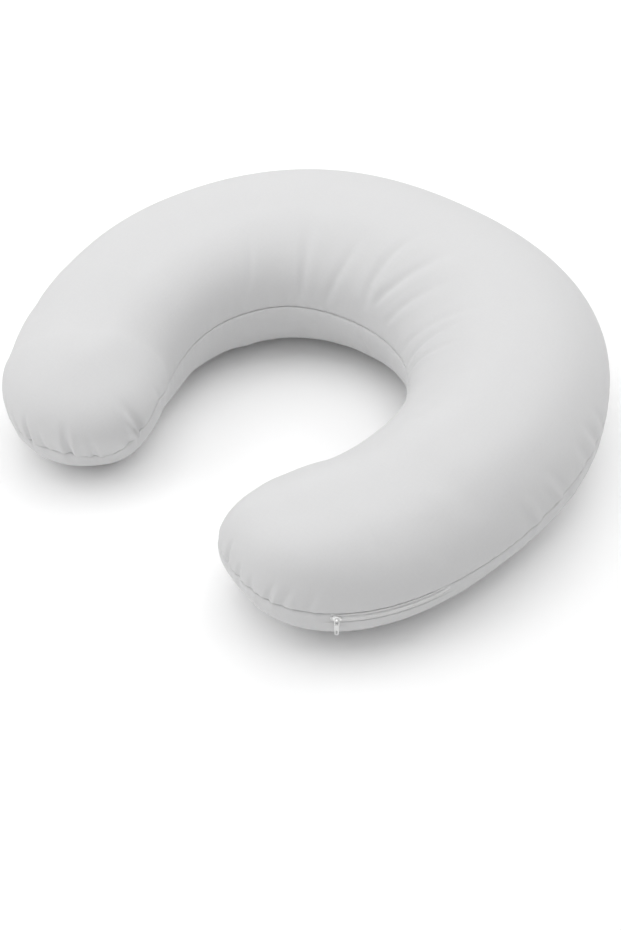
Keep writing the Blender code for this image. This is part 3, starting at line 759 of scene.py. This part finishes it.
# %% Wind the coil
COIL_PITCH = 1.0 * MM
COIL_THREAD = 0.29 * MM
COIL_STEPS = 12
COIL_SIDES = 7
COIL_HALF = 1.15 * MM  # half the width of each spring
COIL_RISE = 0.45 * MM
COIL_OVERLAP = 0.45 * MM
STEEP = 0.9  # a path that rises faster than this takes its directions from X


def tube(path, radius, sides, closed=False):
    """A circle carried along a path of points. At each point it lies square to the path, on two directions
    made from the path's own direction and a fixed one."""
    ahead = np.roll(path, -1, axis=0) - np.roll(path, 1, axis=0)
    if not closed:
        ahead[0], ahead[-1] = path[1] - path[0], path[-1] - path[-2]
    ahead = unit(ahead)
    guide = np.where(np.abs(ahead[:, 2:]) < STEEP, [[0.0, 0.0, 1.0]], [[1.0, 0.0, 0.0]])
    first = unit(np.cross(ahead, guide))
    second = np.cross(ahead, first)
    turn = circle(sides)
    ring = np.cos(turn)[:, None] * first[:, None] + np.sin(turn)[:, None] * second[:, None]
    grid = path[:, None] + radius * ring
    return np.concatenate([grid, grid[:1]]) if closed else capped(grid)


def spring(side):
    """A flattened helix: along the bed it advances a pitch each turn, and across the bed and out of it it
    goes round an ellipse. The two springs are half a pitch apart."""
    turns = int((STRIP_TO - STRIP_FROM) / COIL_PITCH) - 1
    turn = np.linspace(0.0, turns, turns * COIL_STEPS)
    round_angle = 2 * math.pi * turn
    along = STRIP_FROM + (turn + 0.5 + side / 4) * COIL_PITCH
    upper, across, out = bed_frames(along)
    sideways = COIL_CENTRE + side * (COIL_HALF - COIL_OVERLAP + COIL_HALF * np.cos(round_angle))
    height = PLAY + TAPE_THICK + COIL_RISE * (1 + np.sin(round_angle)) - sink(along)
    return upper + across * sideways[:, None] + out * height[:, None]


COIL_GRIDS = [tube(spring(side), COIL_THREAD, COIL_SIDES) for side in (-1, 1)]
coil = new_piece("zip_coil_turns", joined("zip_coil_turns", COIL_GRIDS, WELD), "zip_coil", slot="coil")
print("coil:", len(coil.data.polygons), "faces")

# %% [markdown]
# ## The slider, the loop and the tab
#
# The slider is a die-cast shell over the coil, with flanges down its sides and a small bridge on top. A wire
# loop hangs from the bridge, and a plastic tab is moulded over the loop's lower end. A box with bevels would
# do for the slider from afar. Close up its plan matters, wide at the nose and narrow at the tail, so it is
# lofted: closed plan outlines, one above another, drawn in at the top. The tab is lofted the same way.

# %% Find the slider and what hangs from it
SLIDER_ALONG = 1414 * MM  # along the seam
LOOP_LIFT = 5.0 * MM  # how high over the bed the loop's top bar lies


def frame_matrix(origin, x, y, z):
    """A matrix whose columns are the three directions and the origin."""
    return Matrix.Translation(Vector(origin)) @ Matrix((x, y, z)).transposed().to_4x4()


def slider_matrix():
    """On the middle of the coil: Z out of the bed, Y down across it and X along the zip."""
    upper, across, out = bed_frames(np.array([SLIDER_ALONG]))
    y, z = Vector(across[0]), Vector(out[0])
    return frame_matrix(Vector(upper[0]) + y * COIL_CENTRE, y.cross(z), y, z)


def hanging_matrix(slider):
    """At the loop's top bar: X level along the zip, Z plumb."""
    top = slider @ Vector((0, 0, LOOP_LIFT))
    x = Vector((slider.col[0][0], slider.col[0][1], 0)).normalized()
    z = Vector((0, 0, 1))
    return frame_matrix(top, x, z.cross(x), z)


SLIDER = slider_matrix()
HANGING = hanging_matrix(SLIDER)
print("slider at", [round(x, 4) for x in SLIDER.translation])


def placed(mesh, matrix):
    """The mesh with its place put into its points."""
    mesh.transform(matrix)
    return mesh


# %% Cast the slider
SLIDER_LENGTH = 8.6 * MM
NOSE_HALF = 3.3 * MM
TAIL_HALF = 2.35 * MM
SLIDER_BASE = 0.9 * MM  # over the bed, as is the next
SLIDER_TOP = 3.7 * MM
SLIDER_STEPS = 56
SLIDER_POWER = 2.6
# Outlines from the flange's inner edge, over the shell, to the middle of its top: share of size, height share
SLIDER_ROWS = ((0.80, 0.02), (0.90, 0.0), (0.97, 0.02), (1.0, 0.10), (1.0, 0.55), (0.985, 0.76), (0.93, 0.90),
               (0.82, 0.97), (0.60, 1.0), (0.30, 1.0), (0.0, 1.0))


def slider_shell():
    """Outlines stacked by the table, each shrunk towards the middle. An outline is a superellipse whose half
    width goes evenly from the tail's to the nose's."""
    x, y = rounded(circle(SLIDER_STEPS), SLIDER_POWER)
    half = TAIL_HALF + (NOSE_HALF - TAIL_HALF) * smooth_step((x + 1) / 2)
    outline = np.stack([x * SLIDER_LENGTH / 2, y * half], axis=-1)
    share = np.array(SLIDER_ROWS)
    z = SLIDER_BASE + share[:, 1] * (SLIDER_TOP - SLIDER_BASE)
    grid = np.concatenate([outline[None] * share[:, 0, None, None],
                           np.broadcast_to(z[:, None, None], (len(z), SLIDER_STEPS, 1))], axis=-1)
    floor = grid[:1] * np.array([0.0, 0.0, 1.0])
    return np.concatenate([floor, grid])


BRIDGE_SPAN = 1.25 * MM
BRIDGE_RISE = 2.75 * MM
BRIDGE_LENGTH = 1.7 * MM
BRIDGE_THICK = 0.62 * MM
BRIDGE_STEPS = 25
BRIDGE_SIDES = 20
BRIDGE_SUNK = 0.1 * MM
BRIDGE_POWER = 2.4
BAR_POWER = 2 / 0.6


def bridge():
    """An arch over the loop's bar: a rounded bar's section carried along |y/span|^2.4 + |z/rise|^2.4 = 1."""
    y, z = rounded(np.linspace(0.0, math.pi, BRIDGE_STEPS), BRIDGE_POWER)
    centre = np.stack([0 * y, y * BRIDGE_SPAN, np.abs(z) * BRIDGE_RISE], axis=-1)
    side = np.cross(unit(np.gradient(centre, axis=0)), [1.0, 0.0, 0.0])
    round_angle = circle(BRIDGE_SIDES)
    a = rounded(round_angle, BAR_POWER)[0] * BRIDGE_LENGTH / 2
    b = np.sin(round_angle) * BRIDGE_THICK / 2
    grid = centre[:, None] + a[:, None] * np.array([1.0, 0.0, 0.0]) + b[:, None] * side[:, None]
    grid[..., 2] += SLIDER_TOP - BRIDGE_SUNK
    return capped(grid)


SLIDER_MESH = joined("zip_slider_shell", [slider_shell(), bridge()], FINE_WELD)
slider = new_piece("zip_slider_shell", placed(SLIDER_MESH, SLIDER), "zip_slider", slot="metal")
print("slider:", len(slider.data.polygons), "faces")

# %% Bend the loop
WIRE = 0.9 * MM
LOOP_WIDTH = 3.7 * MM
LOOP_LENGTH = 8.6 * MM
LOOP_CORNER = 1.0 * MM
LOOP_STEPS = 12
WIRE_SIDES = 14


def loop_path():
    """A rounded rectangle that hangs from its top bar: four quarter circles, joined by straight runs."""
    quarter = np.linspace(math.pi / 2, 0.0, LOOP_STEPS)
    arcs = []
    for x_side, low, first in ((1, 0, 0.0), (1, 1, 0.5), (-1, 1, 1.0), (-1, 0, 1.5)):
        angle = quarter - first * math.pi
        x = x_side * (LOOP_WIDTH / 2 - LOOP_CORNER) + LOOP_CORNER * np.cos(angle)
        z = (LOOP_CORNER - LOOP_LENGTH if low else -LOOP_CORNER) + LOOP_CORNER * np.sin(angle)
        arcs.append(np.stack([x, 0 * x, z], axis=-1))
    return np.concatenate(arcs)


LOOP_MESH = weld(ring_mesh("zip_wire_loop", tube(loop_path(), WIRE / 2, WIRE_SIDES, True)), FINE_WELD)
loop = new_piece("zip_wire_loop", placed(LOOP_MESH, HANGING), "zip_pull_loop", slot="metal")
print("loop:", len(loop.data.polygons), "faces")

# %% Mould the tab
TAB_LENGTH = 13.0 * MM
TAB_TOP_HALF = 2.2 * MM
TAB_END_HALF = 1.85 * MM
TAB_STRAIGHT = 0.34  # the share of its length over which the tab keeps its width
TAB_THICK = 2.3 * MM
TAB_GRIP = 3.2 * MM  # how much of the loop is inside the tab
TAB_ROWS = 90
TAB_SIDES = 96
TAB_SHOULDER = 1.2 * MM
RIM_WIDTH = 0.75 * MM
RIM_DEPTH = 0.28 * MM
POCKET_HALF = (0.95 * MM, 2.3 * MM)
POCKET_MIDDLE = 3.7 * MM  # from the tab's end up to the pocket's middle
POCKET_DEPTH = 0.65 * MM
EDGE_SOFT = 0.22 * MM
TAB_DROP = LOOP_LENGTH - TAB_GRIP  # from the bridge down to the tab's top
TAB_ROUND = 0.5 * MM  # how near to an end the tab starts to get thinner
TAB_POWER = 5
FACE = 0.6  # how far out, in half thicknesses, the front and the back begin


def tab_half_width(down):
    """Half the tab's width, down from its top: even, then narrowing to the end's, with circles that round
    off both ends."""
    narrow = smooth_step((down / TAB_LENGTH - TAB_STRAIGHT) / (1 - TAB_STRAIGHT))
    half = TAB_TOP_HALF + (TAB_END_HALF - TAB_TOP_HALF) * narrow
    from_end = np.clip((TAB_LENGTH - down) / TAB_END_HALF, 0.0, 1.0)
    from_top = np.clip(down / TAB_SHOULDER, 0.0, 1.0)
    end = np.sqrt(1 - (1 - from_end) ** 2)
    top = TAB_SHOULDER * (1 - np.sqrt(1 - (1 - from_top) ** 2))
    return (half - top) * end


def tab_relief(x, down, half):
    """How deep the front lies below the rim: a step down inside the rim, and a second one in the pocket.
    Each step is the product of smooth steps over the distances from its edges."""
    inside = (smooth_step((half - np.abs(x) - RIM_WIDTH) / EDGE_SOFT)
              * smooth_step((down - RIM_WIDTH) / EDGE_SOFT)
              * smooth_step((TAB_LENGTH - RIM_WIDTH - down) / EDGE_SOFT))
    pocket = (smooth_step((POCKET_HALF[0] - np.abs(x)) / EDGE_SOFT)
              * smooth_step((POCKET_HALF[1] - np.abs(TAB_LENGTH - POCKET_MIDDLE - down)) / EDGE_SOFT))
    return RIM_DEPTH * inside + POCKET_DEPTH * pocket


def build_tab():
    """Rounded sections, |x|^5 + |y|^5 = 1, at rows that crowd towards both ends, with the relief taken off
    the front and off the back (the back has no pocket)."""
    u = np.linspace(0.0, 1.0, TAB_ROWS)
    down = (TAB_LENGTH * (1 - np.cos(math.pi * u)) / 2)[:, None]
    half = tab_half_width(down)
    x, y = rounded(circle(TAB_SIDES), TAB_POWER)
    x = x * half
    near_end = np.clip(np.minimum(down, TAB_LENGTH - down) / TAB_ROUND, 0.0, 1.0)
    thick = TAB_THICK / 2 * np.sqrt(1 - (1 - near_end) ** 2)
    relief = tab_relief(x, down, half)
    depth = np.where(y > FACE, -relief, 0.0) + np.where(y < -FACE, np.minimum(relief, RIM_DEPTH), 0.0)
    grid = np.stack(np.broadcast_arrays(x, y * thick + depth, -down - TAB_DROP), axis=-1)
    mesh = weld(ring_mesh("zip_moulded_tab", grid), FINE_WELD)
    points = points_of(mesh)
    low = -points[:, 2] - TAB_DROP
    relief = tab_relief(points[:, 0], low, tab_half_width(low)) * (points[:, 1] > 0)
    layer = mesh.attributes.new("pocket", "FLOAT", "POINT")
    layer.data.foreach_set("value", np.clip((relief - RIM_DEPTH) / POCKET_DEPTH, 0.0, 1.0).astype(np.float32))
    return new_piece("zip_moulded_tab", placed(mesh, HANGING), "zip_pull_tab", slot="tab")


tab = build_tab()
print("tab:", len(tab.data.polygons), "faces")

# %% [markdown]
# ## Materials
#
# A material here is worked out, not painted: its pattern is a sum of waves and noise. Adding each Math node
# by hand makes that hard to read, so one small class wraps a socket and lets Python's own operators add the
# nodes. One method adds any other node. The cloth's pattern reads the place on the flat cloth, so its
# threads run straight across each panel and bend with it, as on a cover that was cut from a roll.

# %% Write shader maths as Python
class Signal:
    """A socket whose value changes over the surface. Operators on it add Math nodes."""

    def __init__(self, finish, socket):
        self.finish = finish
        self.socket = socket

    def math(self, operation, *others):
        sockets = dict(enumerate([self, *others]))
        return self.finish.node("ShaderNodeMath", {"operation": operation}, sockets)

    def reflected(self, operation, other):
        return self.finish.node("ShaderNodeMath", {"operation": operation}, {0: other, 1: self})

    def __add__(self, other):
        return self.math("ADD", other)

    __radd__ = __add__

    def __mul__(self, other):
        return self.math("MULTIPLY", other)

    __rmul__ = __mul__

    def __sub__(self, other):
        return self.math("SUBTRACT", other)

    def __rsub__(self, other):
        return self.reflected("SUBTRACT", other)

    def sin(self):
        return self.math("SINE")

    def size(self):
        return self.math("ABSOLUTE")

    def above(self, other):
        return self.math("GREATER_THAN", other)


class Finish:
    """One material, with the method that adds a node to it."""

    def __init__(self, name, color, **constants):
        self.material = bpy.data.materials.new(name)
        self.material.use_nodes = True
        self.tree = self.material.node_tree
        self.shader = self.tree.nodes["Principled BSDF"]
        self.shader.inputs["Base Color"].default_value = (*color, 1.0)
        for socket, value in constants.items():
            self.shader.inputs[socket.replace("_", " ")].default_value = value

    def node(self, kind, settings=None, sockets=None, output=0):
        """Adds a node: its settings first, then the values or links of its sockets."""
        node = self.tree.nodes.new(kind)
        for key, value in (settings or {}).items():
            setattr(node, key, value)
        for key, value in (sockets or {}).items():
            self.feed(node.inputs[key], value)
        return Signal(self, node.outputs[output])

    def feed(self, socket, value):
        if isinstance(value, Signal):
            self.tree.links.new(value.socket, socket)
        else:
            socket.default_value = value

    def color(self, factor, first, second):
        """Blends the base colour between two by a signal from 0 to 1."""
        sockets = {0: factor, 6: (*first, 1.0), 7: (*second, 1.0)}
        blend = self.node("ShaderNodeMix", {"data_type": "RGBA"}, sockets, 2)
        self.feed(self.shader.inputs["Base Color"], blend)

    def roughness(self, value):
        self.feed(self.shader.inputs["Roughness"], value)

    def place(self):
        """The object's own coordinates."""
        return self.node("ShaderNodeTexCoord", None, None, 3)

    def noise(self, place, scale, detail=2.0, roughness=0.5):
        sockets = {"Vector": place, "Scale": scale, "Detail": detail, "Roughness": roughness}
        return self.node("ShaderNodeTexNoise", None, sockets)

    def bump(self, height, distance):
        """Feeds a height, worth a distance in metres where it is 1, to the shader's normal."""
        normal = self.node("ShaderNodeBump", None, {"Height": height, "Distance": distance})
        self.feed(self.shader.inputs["Normal"], normal)

    def wear(self, *pieces):
        """Gives the material to the pieces."""
        for piece in pieces:
            piece.data.materials.clear()
            piece.data.materials.append(self.material)


# %% Weave the cover's cloth
CLOTH_LIGHT = (0.668, 0.668, 0.671)
CLOTH_DARK = (0.580, 0.580, 0.583)
THREAD = 0.52 * MM
THREAD_RISE = 0.035 * MM
SLUB_SCALE = 900.0
SLUB_STRETCH = 0.06


def cover_finish():
    """Plain weave: warp and weft are two waves at a right angle, and each shows where their product is
    positive. The colour is darker where the weave lies low, as painted shade between the threads. Slubs
    stretch along the threads, and grain and soft patches vary the tone a little."""
    finish = Finish("cover_cloth", CLOTH_LIGHT, Roughness=0.9, Specular_IOR_Level=0.25, Sheen_Weight=0.12,
                    Sheen_Roughness=0.45)
    lay = finish.node("ShaderNodeUVMap", {"uv_map": "cloth_lay"})
    warp, weft = [(finish.node("ShaderNodeSeparateXYZ", None, {0: lay}, axis) * (math.pi / THREAD)).sin()
                  for axis in (0, 1)]
    over = (warp * weft).above(0.0)
    height = over * warp.size() + (1 - over) * weft.size()
    slubs = 0.0
    for stretch in ((1.0, SLUB_STRETCH, 1.0), (SLUB_STRETCH, 1.0, 1.0)):
        stretched = finish.node("ShaderNodeMapping", None, {"Vector": lay, "Scale": stretch})
        slubs = slubs + finish.noise(stretched, SLUB_SCALE) * 0.5
    patches = finish.noise(lay, 14.0, 3.0)
    grain = finish.noise(lay, 420.0, 2.0, 0.6)
    # painted shade: the weave's height darkens its low places between the threads; slubs, grain and patches
    # are the cloth's own uneven tone
    finish.color(height * 0.2 + slubs * 0.35 + grain * 0.3 + patches * 0.15, CLOTH_DARK, CLOTH_LIGHT)
    finish.roughness(0.86 + patches * 0.1)
    finish.bump(height * 0.75 + slubs * 0.9, THREAD_RISE)
    return finish


cover_finish().wear(cover)
print("cover's cloth: a thread every", THREAD * 1000, "mm")

# %% Finish the tape, the coil, the metal and the tab
def grey(level):
    """A neutral colour."""
    return (level, level, level)


def tape_finish():
    """Ribbed tape: fine ribs across it, from a wave on the object's own coordinates, with fine grain. Its
    colour is darker in the troughs between the ribs, as painted shade, and both greys are lighter than the
    cloth's, as painted light against the shade in the zip's bed.
    """
    finish = Finish("zip_tape_weave", grey(0.66), Roughness=0.8, Specular_IOR_Level=0.3)
    place = finish.place()
    ribs = finish.node("ShaderNodeTexWave", {"bands_direction": "Z"},
                       {"Vector": place, "Scale": 480.0, "Distortion": 0.6}, 1)
    height = ribs * 0.6 + finish.noise(place, 1800.0) * 0.4
    # painted shade in the troughs between the ribs, and greys lifted as painted light against the bed's
    # shade; the grain is the tape's own uneven tone
    finish.color(height, grey(0.66), grey(0.75))
    finish.bump(height, 0.05 * MM)
    return finish


def coil_finish():
    """Smooth nylon thread, a little glossy, with slight differences between its turns. Its greys are lighter
    than the nylon's own, as painted light that evens out the shade between and under its turns.
    """
    finish = Finish("zip_coil_nylon", grey(0.76), Roughness=0.42)
    patches = finish.noise(finish.place(), 700.0)
    # painted light: both greys are lifted above the nylon's own to even out the coil's shade; the patches are
    # small real differences between turns
    finish.color(patches, grey(0.80), grey(0.90))
    finish.roughness(0.36 + patches * 0.14)
    return finish


def metal_finish():
    """Plated metal: bright, with fine rubbed grain that changes its roughness and lifts it slightly."""
    finish = Finish("zip_plated_metal", (0.74, 0.74, 0.73), Metallic=1.0, Roughness=0.28)
    grain = finish.noise(finish.place(), 1500.0, 4.0, 0.6)
    finish.color(grain, grey(0.76), (0.93, 0.93, 0.92))
    finish.roughness(0.2 + grain * 0.2)
    finish.bump(grain, 0.01 * MM)
    return finish


def tab_finish():
    """Moulded plastic: pale and satin, with the fine stipple of its mould, and rougher and greyer in the
    pocket."""
    finish = Finish("zip_tab_plastic", grey(0.86), Roughness=0.45)
    stipple = finish.noise(finish.place(), 2600.0, 3.0)
    pocket = finish.node("ShaderNodeAttribute", {"attribute_name": "pocket"}, None, 2)
    finish.color(stipple * 0.3 + pocket * 0.7, grey(0.90), grey(0.45))
    finish.roughness(0.38 + stipple * 0.16 + pocket * 0.2)
    finish.bump(stipple, 0.02 * MM)
    return finish


tape_finish().wear(*tapes)
coil_finish().wear(coil)
metal_finish().wear(slider, loop)
tab_finish().wear(tab)
print("materials:", sorted(material.name for material in bpy.data.materials if material.users))

# %% [markdown]
# ## The floor and the light
#
# The pillow lies on a plain white floor in a white room. Much of the light comes evenly from all round, and
# the rest from large lamps in two rings and overhead, the strongest from the left and from behind on the
# right. One lamp could be aimed by eye, but the photograph gives the balance: each lamp was rendered alone,
# and the powers are the ones whose sum comes closest to its tones. The colours are shown without a film
# curve.

# %% Set the stage
FLOOR_SIZE = 30.0
FLOOR_COLOR = grey(0.97)
FLOOR_CELLS = 2
ROOM_LIGHT = 0.243
LAMP_SIZE = 2.2
LAMP_DISTANCE = 2.7
# Each lamp's compass angle from +X towards +Y, its height in degrees, and its power in watts
LAMPS = (
    (-51, 30, 7.0), (39, 30, 5.0), (84, 30, 16.0), (129, 30, 8.0),
    (174, 30, 5.5), (219, 30, 19.0), (264, 30, 4.0), (-51, 62, 7.0),
    (39, 62, 12.5), (129, 62, 9.0), (219, 62, 13.0), (0, 90, 14.5),
)


def add_floor():
    """A square at floor level, as a grid of four cells."""
    bm = bmesh.new()
    bmesh.ops.create_grid(bm, x_segments=FLOOR_CELLS, y_segments=FLOOR_CELLS, size=FLOOR_SIZE / 2)
    mesh = bpy.data.meshes.new("floor")
    bm.to_mesh(mesh)
    bm.free()
    floor = add_object("floor", mesh)
    return floor


def add_lights():
    """An even white room, and square lamps that look at the pillow from a circle's points."""
    world = bpy.data.worlds.new("room")
    world.use_nodes = True
    background = world.node_tree.nodes["Background"]
    background.inputs["Color"].default_value = (1.0, 1.0, 1.0, 1.0)
    background.inputs["Strength"].default_value = ROOM_LIGHT
    bpy.context.scene.world = world
    for angle, height, power in LAMPS:
        way = Vector((math.cos(math.radians(height)), 0, math.sin(math.radians(height))))
        way.rotate(Matrix.Rotation(math.radians(angle), 3, "Z"))
        lamp = add_object("lamp", bpy.data.lights.new("lamp", "AREA"))
        lamp.data.energy = power
        lamp.data.size = LAMP_SIZE
        lamp.location = way * LAMP_DISTANCE
        lamp.rotation_euler = way.to_track_quat("Z", "Y").to_euler()


Finish("floor_paint", FLOOR_COLOR, Roughness=0.75, Specular_IOR_Level=0.2).wear(add_floor())
add_lights()
bpy.context.scene.view_settings.view_transform = "Standard"
print(len(LAMPS), "lamps,", sum(lamp[2] for lamp in LAMPS), "W")
